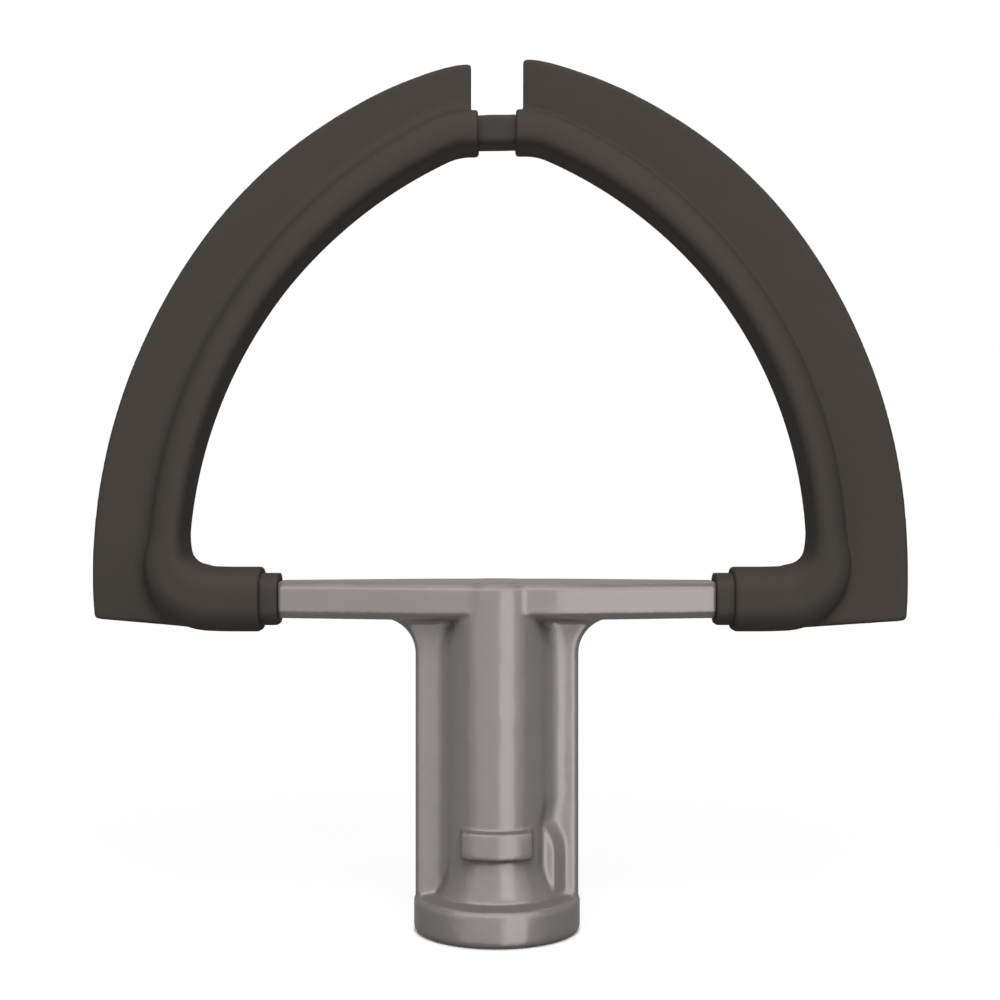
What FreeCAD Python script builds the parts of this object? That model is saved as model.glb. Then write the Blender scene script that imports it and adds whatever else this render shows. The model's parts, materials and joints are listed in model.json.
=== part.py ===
# Flat beater for a stand mixer, with a cast hub and two soft wiper edges.
# Millimetres. The origin is the centre of the hub's mouth, +Z runs to the tip of the arch,
# X is across the arch and -Y is the front. The beater is the same after half a turn about Z,
# so everything on the arch is drawn for the right arm and turned for the left one.
import FreeCAD, Part
import math
import os
from FreeCAD import Vector

# Hub collar and flare
COLLAR_RADIUS = 13.5
COLLAR_HEIGHT = 6.1
COLLAR_FOOT_ROUND = 1.0
COLLAR_TOP_CHAMFER = 0.7
FLARE_RADIUS = 10.5
FLARE_HEIGHT = 6.0

# Oval shank
SHANK_HALF_WIDTH = 8.3
SHANK_HALF_DEPTH = 9.2
OVAL_FULLNESS = 0.54

# Side fins
FIN_REACH = 13.2
FIN_THICKNESS = 5.2
FIN_EDGE_ROUND = 1.0
FIN_ROOT_ROUND = 3.6
FIN_TOP_SWEEP = 5.7
FIN_TOP_BLEND = 1.3
FIN_FOOT_BLEND = 1.1

# Socket for the mixer's shaft
SOCKET_RADIUS = 6.45
SOCKET_DEPTH = 38.0
SOCKET_LEAD_IN = 0.8
PIN_GROOVE_WIDTH = 5.2
PIN_GROOVE_WALL_MIN = 0.9
LOCK_GROOVE_BASE = 13.6
LOCK_GROOVE_HEIGHT = 4.4

# Band over the locking groove
BAND_HALF_WIDTH = 5.65
BAND_PROUD = 1.6
BAND_EDGE_ROUND = 0.5

# Housing over the entry groove
HOUSING_REACH = 11.0
HOUSING_HALF_DEPTH = 4.4
HOUSING_SHOULDER_BASE = 12.9
HOUSING_SHOULDER_RADIUS = 8.35

# Crossbar
BAR_TOP = 56.65
BAR_HEIGHT = 6.0
BAR_HALF_LENGTH = 35.35
BAR_ROOT_HALF_DEPTH = 8.0
BAR_ROOT_BLEND = 2.0
BAR_END_HALF_DEPTH = 3.4
BAR_KNEE = 11.5
BAR_SHOULDER_RUN = 3.5
BAR_CHAMFER = 1.1

# Tenons that key the casting into the moulded arch
TENON_HEIGHT = 4.6
TENON_LENGTH = 10.5
TENON_HOLE_RADIUS = 1.25
TENON_HOLE_INSET = 6.0

# Centre line of the arch
ARCH_HALF_WIDTH = 53.7
ARCH_RISE = 75.9
WIDEST_RISE = 5.1
CORNER_RADIUS = 7.3
TIP_BEND_RADIUS = 12.0
TIP_RUN = 4.4
ARCH_BOW = 2.6
BOW_START = 2.5

# Moulded core of the arch: a collar at each end of the crossbar and an eight-sided arm
CORE_COLLAR_HEIGHT = 8.4
CORE_COLLAR_DEPTH = 8.5
CORE_COLLAR_ROUND = 3.0
COLLAR_LAP = 1.2
CORE_FOOT_HEIGHT = 7.3
CORE_FOOT_DEPTH = 7.7
CORE_FOOT_CHAMFER = 1.6
CORE_ARM_HEIGHT = 3.8
CORE_ARM_DEPTH = 6.8
CORE_ARM_CHAMFER = 0.6
CORE_TIP_HEIGHT = 4.8

# Soft sleeve round the core
SLEEVE_END_HEIGHT = 10.4
SLEEVE_END_DEPTH = 11.2
SLEEVE_END_ROUND = 4.2
SLEEVE_ARM_HEIGHT = 5.5
SLEEVE_ARM_DEPTH = 11.2
SLEEVE_ARM_ROUND = 2.3
SLEEVE_TIP_HEIGHT = 6.2
COLLAR_SHOWING = 2.8
TIP_SHOWING = 3.0
TAPER_BEFORE_CORNER = 2.0
TAPER_AFTER_CORNER = 5.0
TAPER_BEFORE_TIP = 9.0
SLEEVE_MOUTH_ROUND = 0.5

# Wiper blade
BLADE_FOOT_REACH = 12.35
BLADE_FOOT_DROP = 3.4
BLADE_SIDE_REACH = 12.6
BLADE_FLANK_REACH = 12.75
BLADE_SHOULDER_REACH = 12.85
BLADE_CROWN_REACH = 11.8
BLADE_TIP_REACH = 11.6
BLADE_TIP_GAP = 4.24
BLADE_HEEL_DROP = 4.9
BLADE_ROOT_THICKNESS = 2.4
BLADE_EDGE_THICKNESS = 1.4
BLADE_CORNER_ROUND = 0.8
BLADE_LEAN_FOOT = 0.18
BLADE_LEAN_MIDDLE = 0.085
BLADE_LEAN_TIP = 0.1
BLADE_ROOT_FLARE = 2.4

# Places that follow from the sizes above
BAR_LEVEL = BAR_TOP - BAR_HEIGHT / 2
BAR_UNDERSIDE = BAR_TOP - BAR_HEIGHT
FIN_HALF = FIN_THICKNESS / 2
TIP_LEVEL = BAR_LEVEL + ARCH_RISE
X_AXIS = Vector(1, 0, 0)
Y_AXIS = Vector(0, 1, 0)
Z_AXIS = Vector(0, 0, 1)
ORIGIN = Vector(0, 0, 0)
ROUND_HANDLE = 0.5523

# The main arc of the arch touches its widest line and the bend at the tip
RISE_TO_BEND = ARCH_RISE - TIP_BEND_RADIUS - WIDEST_RISE
RUN_TO_BEND = ARCH_HALF_WIDTH - TIP_RUN
MAIN_RADIUS = (RUN_TO_BEND ** 2 + RISE_TO_BEND ** 2 - TIP_BEND_RADIUS ** 2) / (
    2 * (RUN_TO_BEND - TIP_BEND_RADIUS))
MAIN_CENTRE_X = ARCH_HALF_WIDTH - MAIN_RADIUS
MAIN_CENTRE_Z = BAR_LEVEL + WIDEST_RISE
CORNER_CENTRE_Z = BAR_LEVEL + CORNER_RADIUS
CORNER_DROP = CORNER_CENTRE_Z - MAIN_CENTRE_Z
CORNER_CENTRE_X = MAIN_CENTRE_X + math.sqrt((MAIN_RADIUS - CORNER_RADIUS) ** 2 - CORNER_DROP ** 2)
ARC_FOOT_ANGLE = math.atan2(CORNER_DROP, CORNER_CENTRE_X - MAIN_CENTRE_X)
ARC_TOP_ANGLE = math.atan2(RISE_TO_BEND, TIP_RUN - MAIN_CENTRE_X)

# Lengths along the centre line, from the end of the crossbar to the tip
FOOT_LENGTH = CORNER_CENTRE_X - BAR_HALF_LENGTH
CORNER_LENGTH = CORNER_RADIUS * (math.pi / 2 + ARC_FOOT_ANGLE)
MAIN_LENGTH = MAIN_RADIUS * (ARC_TOP_ANGLE - ARC_FOOT_ANGLE)
BEND_LENGTH = TIP_BEND_RADIUS * (math.pi / 2 - ARC_TOP_ANGLE)
ARM_LENGTH = FOOT_LENGTH + CORNER_LENGTH + MAIN_LENGTH + BEND_LENGTH + TIP_RUN


def smooth_step(value, low, high):
    """Ease from 0 at low to 1 at high."""
    share = min(max((value - low) / (high - low), 0.0), 1.0)
    return share * share * (3 - 2 * share)


def on_arc(centre_x, centre_z, radius, angle):
    """Point of an arc in the XZ plane and the way that it faces."""
    outward = Vector(math.cos(angle), 0, math.sin(angle))
    return Vector(centre_x, 0, centre_z) + outward * radius, outward


def bow(along):
    """How far the centre line stands forward of the plane of the crossbar."""
    start = FOOT_LENGTH + BOW_START
    share = min(max((along - start) / (ARM_LENGTH - start), 0.0), 1.0)
    return ARCH_BOW * math.sin(math.pi * share)


def station(along):
    """Point on the right arm's bowed centre line, and the direction to the arch's outside."""
    left = along
    if left <= FOOT_LENGTH:
        point = Vector(BAR_HALF_LENGTH + left, 0, BAR_LEVEL)
        outward = Vector(0, 0, -1)
        return point - Y_AXIS * bow(along), outward
    left -= FOOT_LENGTH
    if left <= CORNER_LENGTH:
        angle = left / CORNER_RADIUS - math.pi / 2
        point, outward = on_arc(CORNER_CENTRE_X, CORNER_CENTRE_Z, CORNER_RADIUS, angle)
        return point - Y_AXIS * bow(along), outward
    left -= CORNER_LENGTH
    if left <= MAIN_LENGTH:
        angle = ARC_FOOT_ANGLE + left / MAIN_RADIUS
        point, outward = on_arc(MAIN_CENTRE_X, MAIN_CENTRE_Z, MAIN_RADIUS, angle)
        return point - Y_AXIS * bow(along), outward
    left -= MAIN_LENGTH
    if left <= BEND_LENGTH:
        angle = ARC_TOP_ANGLE + left / TIP_BEND_RADIUS
        point, outward = on_arc(TIP_RUN, TIP_LEVEL - TIP_BEND_RADIUS, TIP_BEND_RADIUS, angle)
        return point - Y_AXIS * bow(along), outward
    left -= BEND_LENGTH
    return Vector(TIP_RUN - left, 0, TIP_LEVEL) - Y_AXIS * bow(along), Vector(0, 0, 1)


def stations_between(start, end):
    """Places along the arm for sections, closer together where it turns sharply."""
    corner_end = FOOT_LENGTH + CORNER_LENGTH
    arc_end = corner_end + MAIN_LENGTH
    bend_end = arc_end + BEND_LENGTH
    runs = [(0.0, FOOT_LENGTH, 2), (FOOT_LENGTH, corner_end, 5), (corner_end, arc_end, 8),
            (arc_end, bend_end, 2), (bend_end, ARM_LENGTH, 1)]
    places = [start]
    for run_start, run_end, count in runs:
        for index in range(count):
            place = run_start + (run_end - run_start) * index / count
            if start + 0.8 < place < end - 0.8:
                places.append(place)
    places.append(end)
    return places


def turned(shape):
    """The same shape on the other arm: half a turn about Z."""
    copy = shape.copy()
    copy.rotate(ORIGIN, Z_AXIS, 180)
    return copy


def wire_of(points):
    """Closed outline through corner points."""
    return Part.makePolygon(points + [points[0]])


def oval_wire(half_width, half_depth, level):
    """Upright oval's outline at one level, as four arcs that run smoothly into each other."""
    stretch = half_depth - half_width
    touch = math.atan2(2 * OVAL_FULLNESS * (1 + OVAL_FULLNESS), 1 + 2 * OVAL_FULLNESS)
    end_radius = half_width - OVAL_FULLNESS * stretch
    touch_x = end_radius * math.cos(touch)
    touch_y = end_radius * math.sin(touch) + stretch * (1 + OVAL_FULLNESS)
    corners = [Vector(side_x * touch_x, side_y * touch_y, level)
               for side_x, side_y in ((1, -1), (1, 1), (-1, 1), (-1, -1))]
    middles = [Vector(half_width, 0, level), Vector(0, half_depth, level),
               Vector(-half_width, 0, level), Vector(0, -half_depth, level)]
    return Part.Wire([Part.Arc(corners[index], middles[index], corners[(index + 1) % 4]).toShape()
                      for index in range(4)])


def oval_face(half_width, half_depth, level):
    """Upright oval's face at one level."""
    return Part.Face(oval_wire(half_width, half_depth, level))


def oval_post(half_width, half_depth, base, height):
    """Upright oval post."""
    return oval_face(half_width, half_depth, base).extrude(Z_AXIS * height)


def edges_where(shape, test):
    """Edges that pass a test, which is given each edge and its middle point."""
    chosen = []
    for edge in shape.Edges:
        middle = edge.valueAt((edge.FirstParameter + edge.LastParameter) / 2)
        if test(edge, middle):
            chosen.append(edge)
    return chosen


def is_upright(edge):
    """True for a straight edge along Z."""
    if len(edge.Vertexes) != 2:
        return False
    run = edge.Vertexes[1].Point - edge.Vertexes[0].Point
    return abs(abs(run.z) - edge.Length) < 1e-6


def collar_and_flare():
    """Round collar at the mouth, with the flare that leads up into the shank."""
    collar = Part.makeCylinder(COLLAR_RADIUS, COLLAR_HEIGHT)
    foot = edges_where(collar, lambda edge, middle: middle.z < 1e-6 and not is_upright(edge))
    collar = collar.makeFillet(COLLAR_FOOT_ROUND, foot)
    top = edges_where(collar, lambda edge, middle: middle.z > COLLAR_HEIGHT - 1e-6)
    collar = collar.makeChamfer(COLLAR_TOP_CHAMFER, top)
    rings = []
    steps = 5
    for index in range(steps + 1):
        share = index / steps
        spread = (1 - share) ** 2
        half_width = SHANK_HALF_WIDTH + (FLARE_RADIUS - SHANK_HALF_WIDTH) * spread
        half_depth = SHANK_HALF_DEPTH + (FLARE_RADIUS - SHANK_HALF_DEPTH) * spread
        level = COLLAR_HEIGHT + FLARE_HEIGHT * share
        rings.append(oval_wire(half_width, half_depth, level))
    flare = Part.makeLoft(rings, True, False)
    return collar, flare


def fin_outline(inset):
    """Right fin seen from the front, with the sweep into the crossbar at its top."""
    base = COLLAR_HEIGHT / 2
    reach = FIN_REACH - inset
    sweep = FIN_TOP_SWEEP + inset
    centre = Vector(FIN_REACH + FIN_TOP_SWEEP, 0, BAR_UNDERSIDE - FIN_TOP_SWEEP)
    sweep_start = Vector(reach, 0, centre.z)
    sweep_middle = centre + Vector(-math.sqrt(0.5), 0, math.sqrt(0.5)) * sweep
    sweep_end = Vector(centre.x, 0, centre.z + sweep)
    corners = [Vector(centre.x, 0, BAR_LEVEL), Vector(0, 0, BAR_LEVEL), Vector(0, 0, base),
               Vector(reach, 0, base), sweep_start]
    sides = [Part.makeLine(sweep_end, corners[0])]
    sides += [Part.makeLine(corners[index], corners[index + 1]) for index in range(len(corners) - 1)]
    sides.append(Part.Arc(sweep_start, sweep_middle, sweep_end).toShape())
    return Part.Face(Part.Wire(sides))


def plate(face, half_depth):
    """Upright face given a thickness to both sides of the XZ plane."""
    solid = face.extrude(Y_AXIS * 2 * half_depth)
    solid.translate(Y_AXIS * -half_depth)
    return solid


def fins():
    """Pair of side fins as one plate that sweeps out into the crossbar at the top."""
    right = plate(fin_outline(0.0), FIN_HALF)
    outer = edges_where(right, lambda edge, middle: (
        abs(abs(middle.y) - FIN_HALF) < 1e-6 and middle.x > FIN_REACH - 1e-6
        and COLLAR_HEIGHT / 2 + 0.1 < middle.z < BAR_UNDERSIDE))
    right = right.makeFillet(FIN_EDGE_ROUND, outer)
    return right.fuse(turned(right)).removeSplitter()


def fin_blend(radius, level, side):
    """Hollow-faced strip in the corner of the right fin's front face and a level face.

    The level face is above the strip for a side of 1 and below it for -1.
    """
    lap = FIN_HALF / 2
    run = FIN_REACH + FIN_TOP_SWEEP
    heart = Vector(0, -FIN_HALF - radius, level - side * radius)
    on_fin = Vector(0, -FIN_HALF, heart.z)
    on_level = Vector(0, heart.y, level)
    hollow = heart + Vector(0, math.sqrt(0.5), side * math.sqrt(0.5)) * radius
    inside = [on_level, on_level + Z_AXIS * side * lap, Vector(0, lap - FIN_HALF, level + side * lap),
              Vector(0, lap - FIN_HALF, heart.z), on_fin]
    edges = [Part.Arc(on_fin, hollow, on_level).toShape()]
    edges += [Part.makeLine(inside[index], inside[index + 1]) for index in range(len(inside) - 1)]
    return Part.Face(Part.Wire(edges)).extrude(X_AXIS * run)


def fin_blends():
    """Blends from the fins' faces into the crossbar's underside and the collar's top."""
    top = fin_blend(FIN_TOP_BLEND, BAR_UNDERSIDE, 1)
    top = top.common(plate(fin_outline(FIN_EDGE_ROUND), FIN_HALF + 2 * FIN_TOP_BLEND))
    foot = fin_blend(FIN_FOOT_BLEND, COLLAR_HEIGHT, -1)
    foot = foot.common(Part.makeCylinder(COLLAR_RADIUS - COLLAR_TOP_CHAMFER, 2 * COLLAR_HEIGHT))
    front = [top, foot]
    back = [piece.mirror(ORIGIN, Y_AXIS) for piece in front]
    return [piece for right in front + back for piece in (right, turned(right))]


def shank():
    """Oval shank with its fins, blended into each other."""
    base = COLLAR_HEIGHT / 2
    post = oval_post(SHANK_HALF_WIDTH, SHANK_HALF_DEPTH, base, BAR_LEVEL - base)
    body = post.fuse(fins()).removeSplitter()
    roots = edges_where(body, lambda edge, middle: (
        is_upright(edge) and abs(abs(middle.y) - FIN_HALF) < 1e-3
        and abs(middle.x) < SHANK_HALF_WIDTH + 0.1))
    return body.makeFillet(FIN_ROOT_ROUND, roots)


def band():
    """Raised band on the front of the shank, over the locking groove."""
    proud = oval_post(SHANK_HALF_WIDTH + BAND_PROUD, SHANK_HALF_DEPTH + BAND_PROUD,
                      LOCK_GROOVE_BASE, LOCK_GROOVE_HEIGHT)
    front = Part.makeBox(2 * BAND_HALF_WIDTH, SHANK_HALF_DEPTH + 2 * BAND_PROUD, LOCK_GROOVE_HEIGHT,
                         Vector(-BAND_HALF_WIDTH, -SHANK_HALF_DEPTH - 2 * BAND_PROUD, LOCK_GROOVE_BASE))
    pad = proud.common(front)
    face_edges = edges_where(pad, lambda edge, middle: middle.y < -SHANK_HALF_DEPTH * 0.75)
    return pad.makeFillet(BAND_EDGE_ROUND, face_edges)


def groove_housing():
    """Shouldered bulge on both faces of the right fin, over the entry groove."""
    base = COLLAR_HEIGHT / 2
    centre_x = HOUSING_REACH - HOUSING_SHOULDER_RADIUS
    foot = Vector(HOUSING_REACH, 0, base)
    shoulder = Vector(HOUSING_REACH, 0, HOUSING_SHOULDER_BASE)
    quarter = math.pi / 4
    middle = Vector(centre_x + HOUSING_SHOULDER_RADIUS * math.cos(quarter), 0,
                    HOUSING_SHOULDER_BASE + HOUSING_SHOULDER_RADIUS * math.sin(quarter))
    crown = Vector(centre_x, 0, HOUSING_SHOULDER_BASE + HOUSING_SHOULDER_RADIUS)
    heel = Vector(centre_x, 0, base)
    outline = Part.Wire([Part.makeLine(foot, shoulder), Part.Arc(shoulder, middle, crown).toShape(),
                         Part.makeLine(crown, heel), Part.makeLine(heel, foot)])
    block = Part.Face(outline).extrude(Y_AXIS * 2 * HOUSING_HALF_DEPTH)
    block.translate(Y_AXIS * -HOUSING_HALF_DEPTH)
    slope = HOUSING_HALF_DEPTH - FIN_HALF
    rims = edges_where(block, lambda edge, middle: (
        abs(abs(middle.y) - HOUSING_HALF_DEPTH) < 1e-6 and middle.x > centre_x + 0.1
        and middle.z > base + 0.1))
    return block.makeChamfer(slope, rims)


def arc_about(centre, start, end):
    """Short arc about a centre, from one point to another."""
    radius = (start - centre).Length
    middle = centre + ((start - centre) + (end - centre)).normalize() * radius
    return Part.Arc(start, middle, end).toShape()


def bar_front():
    """Front edge of the right half in plan: shank, hollow blend, bar, shoulder and taper."""
    stretch = SHANK_HALF_DEPTH - SHANK_HALF_WIDTH
    oval_centre = Vector(0, -stretch * (1 + OVAL_FULLNESS), BAR_UNDERSIDE)
    oval_radius = SHANK_HALF_WIDTH - OVAL_FULLNESS * stretch
    blend_y = -BAR_ROOT_HALF_DEPTH - BAR_ROOT_BLEND
    blend_x = math.sqrt((oval_radius + BAR_ROOT_BLEND) ** 2 - (blend_y - oval_centre.y) ** 2)
    blend_centre = Vector(blend_x, blend_y, BAR_UNDERSIDE)
    front = Vector(0, -SHANK_HALF_DEPTH, BAR_UNDERSIDE)
    on_oval = oval_centre + (blend_centre - oval_centre).normalize() * oval_radius
    on_bar = Vector(blend_x, -BAR_ROOT_HALF_DEPTH, BAR_UNDERSIDE)
    knee = Vector(BAR_KNEE, -BAR_ROOT_HALF_DEPTH, BAR_UNDERSIDE)
    end = Vector(BAR_HALF_LENGTH, -BAR_END_HALF_DEPTH, BAR_UNDERSIDE)
    slope = (end - knee).normalize()
    root = knee - X_AXIS * BAR_SHOULDER_RUN
    taper = knee + slope * BAR_SHOULDER_RUN
    shoulder_radius = BAR_SHOULDER_RUN / math.tan(math.atan2(slope.y, slope.x) / 2)
    shoulder_centre = root + Y_AXIS * shoulder_radius
    return [arc_about(oval_centre, front, on_oval), arc_about(blend_centre, on_oval, on_bar),
            Part.makeLine(on_bar, root), arc_about(shoulder_centre, root, taper), Part.makeLine(taper, end)]


def crossbar():
    """Crossbar and the head of the shank, with chamfers along the top and the underside."""
    front = bar_front()
    back = [edge.mirror(ORIGIN, Y_AXIS) for edge in front]
    middle_edge = Part.makeLine(Vector(0, -SHANK_HALF_DEPTH, BAR_UNDERSIDE),
                                Vector(0, SHANK_HALF_DEPTH, BAR_UNDERSIDE))
    end_edge = Part.makeLine(Vector(BAR_HALF_LENGTH, -BAR_END_HALF_DEPTH, BAR_UNDERSIDE),
                             Vector(BAR_HALF_LENGTH, BAR_END_HALF_DEPTH, BAR_UNDERSIDE))
    plan = Part.Wire(Part.__sortEdges__(front + back + [end_edge, middle_edge]))
    half = Part.Face(plan).extrude(Z_AXIS * BAR_HEIGHT)
    rims = edges_where(half, lambda edge, middle: (
        not is_upright(edge) and abs(middle.y) > BAR_END_HALF_DEPTH * 0.5
        and middle.x < BAR_HALF_LENGTH - 0.01))
    half = half.makeChamfer(BAR_CHAMFER, rims)
    return half.fuse(turned(half)).removeSplitter()


def tenon():
    """Square tenon with a cross hole, which keys the right end of the crossbar into the core."""
    length = TENON_LENGTH + 1
    bar = Part.makeBox(length, TENON_HEIGHT, TENON_HEIGHT,
                       Vector(BAR_HALF_LENGTH - 1, -TENON_HEIGHT / 2, BAR_LEVEL - TENON_HEIGHT / 2))
    hole = Part.makeCylinder(TENON_HOLE_RADIUS, 2 * TENON_HEIGHT,
                             Vector(BAR_HALF_LENGTH + TENON_HOLE_INSET, -TENON_HEIGHT, BAR_LEVEL), Y_AXIS)
    return bar.cut(hole)


def socket():
    """Shaft socket: bore, lead-in, and the entry and locking grooves for the drive pin."""
    bore = Part.makeCylinder(SOCKET_RADIUS, SOCKET_DEPTH)
    lead_in = Part.makeCone(SOCKET_RADIUS + SOCKET_LEAD_IN, SOCKET_RADIUS, SOCKET_LEAD_IN)
    reach = SHANK_HALF_WIDTH * math.sqrt(1 - (HOUSING_HALF_DEPTH / SHANK_HALF_DEPTH) ** 2)
    reach = math.hypot(reach, HOUSING_HALF_DEPTH) - PIN_GROOVE_WALL_MIN
    groove_top = LOCK_GROOVE_BASE + LOCK_GROOVE_HEIGHT
    swept = Part.makeCylinder(reach, groove_top)
    entry = Part.makeBox(2 * reach, PIN_GROOVE_WIDTH, groove_top, Vector(0, -PIN_GROOVE_WIDTH / 2, 0))
    entry = swept.common(entry)
    half_seat = math.degrees(math.asin(PIN_GROOVE_WIDTH / 2 / SOCKET_RADIUS))
    sector = Part.makeCylinder(reach, LOCK_GROOVE_HEIGHT, Vector(0, 0, LOCK_GROOVE_BASE), Z_AXIS,
                               90 + half_seat)
    sector.rotate(ORIGIN, Z_AXIS, -90 - half_seat)
    return bore.fuse([lead_in, entry, sector])


def hub_casting():
    """One casting: collar, flared oval shank, fins, crossbar, band, groove housing and tenons."""
    collar, flare = collar_and_flare()
    right_tenon = tenon()
    body = shank().fuse([crossbar(), flare, groove_housing(), band(), collar] + fin_blends())
    body = body.fuse([right_tenon, turned(right_tenon)])
    return body.cut(socket()).removeSplitter()


def between(foot_size, arm_size, along):
    """A size that goes from its value at the foot to its value along the arm."""
    share = smooth_step(along, FOOT_LENGTH - TAPER_BEFORE_CORNER,
                        FOOT_LENGTH + CORNER_LENGTH + TAPER_AFTER_CORNER)
    return foot_size + (arm_size - foot_size) * share


def height_along(foot_height, arm_height, tip_height, along):
    """Height of a section that goes from the foot to the arm and grows again at the tip."""
    growth = smooth_step(along, ARM_LENGTH - TIP_SHOWING - TAPER_BEFORE_TIP, ARM_LENGTH - TIP_SHOWING)
    return between(foot_height, arm_height, along) + (tip_height - arm_height) * growth


def rounded_section(along, half_height, half_depth, radius):
    """Rectangle with rounded corners, square to the centre line."""
    point, outward = station(along)
    inset = radius * (1 - ROUND_HANDLE)
    corners = []
    for side_out, side_deep in ((1, 1), (-1, 1), (-1, -1), (1, -1)):
        poles = [(half_height, half_depth - radius), (half_height, half_depth - inset),
                 (half_height - inset, half_depth), (half_height - radius, half_depth)]
        if side_out * side_deep < 0:
            poles.reverse()
        corner = Part.BezierCurve()
        corner.setPoles([point + outward * (side_out * out) + Y_AXIS * (side_deep * deep)
                         for out, deep in poles])
        corners.append(corner)
    edges = []
    for index, corner in enumerate(corners):
        following = corners[(index + 1) % len(corners)]
        edges.append(corner.toShape())
        edges.append(Part.makeLine(corner.EndPoint, following.StartPoint))
    return Part.Wire(edges)


def core_section(along):
    """Eight-sided section of the core's arm."""
    point, outward = station(along)
    half_height = height_along(CORE_FOOT_HEIGHT, CORE_ARM_HEIGHT, CORE_TIP_HEIGHT, along) / 2
    half_depth = between(CORE_FOOT_DEPTH, CORE_ARM_DEPTH, along) / 2
    cut = between(CORE_FOOT_CHAMFER, CORE_ARM_CHAMFER, along)
    corners = [(half_height, half_depth - cut), (half_height - cut, half_depth),
               (cut - half_height, half_depth), (-half_height, half_depth - cut),
               (-half_height, cut - half_depth), (cut - half_height, -half_depth),
               (half_height - cut, -half_depth), (half_height, cut - half_depth)]
    return wire_of([point + outward * out + Y_AXIS * deep for out, deep in corners])


def sleeve_half_height(along):
    """Half the height of the soft sleeve."""
    return height_along(SLEEVE_END_HEIGHT, SLEEVE_ARM_HEIGHT, SLEEVE_TIP_HEIGHT, along) / 2


def sleeve_section(along):
    """Section of the soft sleeve, which draws in where its mouths are rounded."""
    from_mouth = min(along - COLLAR_SHOWING, ARM_LENGTH - TIP_SHOWING - along, SLEEVE_MOUTH_ROUND)
    left = SLEEVE_MOUTH_ROUND - from_mouth
    drawn_in = SLEEVE_MOUTH_ROUND - math.sqrt(max(SLEEVE_MOUTH_ROUND ** 2 - left ** 2, 0.0))
    half_depth = between(SLEEVE_END_DEPTH, SLEEVE_ARM_DEPTH, along) / 2
    radius = between(SLEEVE_END_ROUND, SLEEVE_ARM_ROUND, along)
    return rounded_section(along, sleeve_half_height(along) - drawn_in, half_depth - drawn_in,
                           radius - drawn_in)


def blade_section(along):
    """Section of the uncut blade: it leans forward, thins outwards and flares into the sleeve behind."""
    point, outward = station(along)
    share = 2 * along / ARM_LENGTH - 1
    end_lean = BLADE_LEAN_FOOT if share < 0 else BLADE_LEAN_TIP
    lean = BLADE_LEAN_MIDDLE + (end_lean - BLADE_LEAN_MIDDLE) * share ** 2
    far = 2 * BLADE_SHOULDER_REACH

    def half_thickness(out):
        return (BLADE_ROOT_THICKNESS - (BLADE_ROOT_THICKNESS - BLADE_EDGE_THICKNESS)
                * out / BLADE_SHOULDER_REACH) / 2

    def place(out, side, extra=0.0):
        return point + outward * out + Y_AXIS * (side * half_thickness(out) + extra - lean * out)

    skin = sleeve_half_height(along) - 0.2
    flare_end = skin + BLADE_ROOT_FLARE
    rounding = BLADE_ROOT_FLARE * (1 - math.sqrt(0.5))
    front_root = place(0, -1)
    front_far = place(far, -1)
    back_far = place(far, 1)
    back_flare = place(flare_end, 1)
    back_skin = place(skin, 1, BLADE_ROOT_FLARE)
    back_root = place(0, 1, BLADE_ROOT_FLARE)
    bend = place(skin + rounding, 1, rounding)
    return Part.Wire([Part.makeLine(front_root, front_far), Part.makeLine(front_far, back_far),
                      Part.makeLine(back_far, back_flare), Part.Arc(back_flare, bend, back_skin).toShape(),
                      Part.makeLine(back_skin, back_root), Part.makeLine(back_root, front_root)])


def blade_outline():
    """Prism of the blade's outline, seen from the front."""
    def reach_point(degrees, reach):
        return on_arc(MAIN_CENTRE_X, MAIN_CENTRE_Z, MAIN_RADIUS + reach, math.radians(degrees))[0]

    foot = Vector(ARCH_HALF_WIDTH + BLADE_FOOT_REACH, 0, BAR_LEVEL - BLADE_FOOT_DROP)
    tip = Vector(BLADE_TIP_GAP, 0, TIP_LEVEL + BLADE_TIP_REACH)
    edge = Part.BSplineCurve()
    edge.interpolate([foot, reach_point(3, BLADE_SIDE_REACH), reach_point(24, BLADE_FLANK_REACH),
                      reach_point(44, BLADE_SHOULDER_REACH), reach_point(60, BLADE_CROWN_REACH), tip])
    tip_root = Vector(BLADE_TIP_GAP, 0, TIP_LEVEL)
    heel = Vector(CORNER_CENTRE_X, 0, BAR_LEVEL - BLADE_HEEL_DROP)
    inner = Vector(CORNER_CENTRE_X, 0, CORNER_CENTRE_Z)
    face = Part.Face(Part.Wire([edge.toShape(), Part.makeLine(tip, tip_root), Part.makeLine(tip_root, inner),
                                Part.makeLine(inner, heel), Part.makeLine(heel, foot)]))
    prism = plate(face, 2 * SLEEVE_END_DEPTH)
    corners = edges_where(prism, lambda edge, middle: (
        (middle - foot).cross(Y_AXIS).Length < 1e-3 or (middle - tip).cross(Y_AXIS).Length < 1e-3))
    return prism.makeFillet(BLADE_CORNER_ROUND, corners)


def blade():
    """Thin wiper blade with rounded outer edges."""
    start = FOOT_LENGTH + 0.01
    end = ARM_LENGTH - TIP_SHOWING
    sheet = Part.makeLoft([blade_section(place) for place in stations_between(start, end)], True, True)
    return sheet.common(blade_outline())


def arm_core():
    """Right half of the moulded core, from the crossbar to the middle of the tip."""
    places = stations_between(COLLAR_SHOWING, ARM_LENGTH)
    arm = Part.makeLoft([core_section(place) for place in places], True, True)
    mouth = rounded_section(0.0, CORE_COLLAR_HEIGHT / 2, CORE_COLLAR_DEPTH / 2, CORE_COLLAR_ROUND)
    collar = Part.Face(mouth).extrude(X_AXIS * (COLLAR_SHOWING + COLLAR_LAP))
    return collar.fuse(arm)


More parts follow.
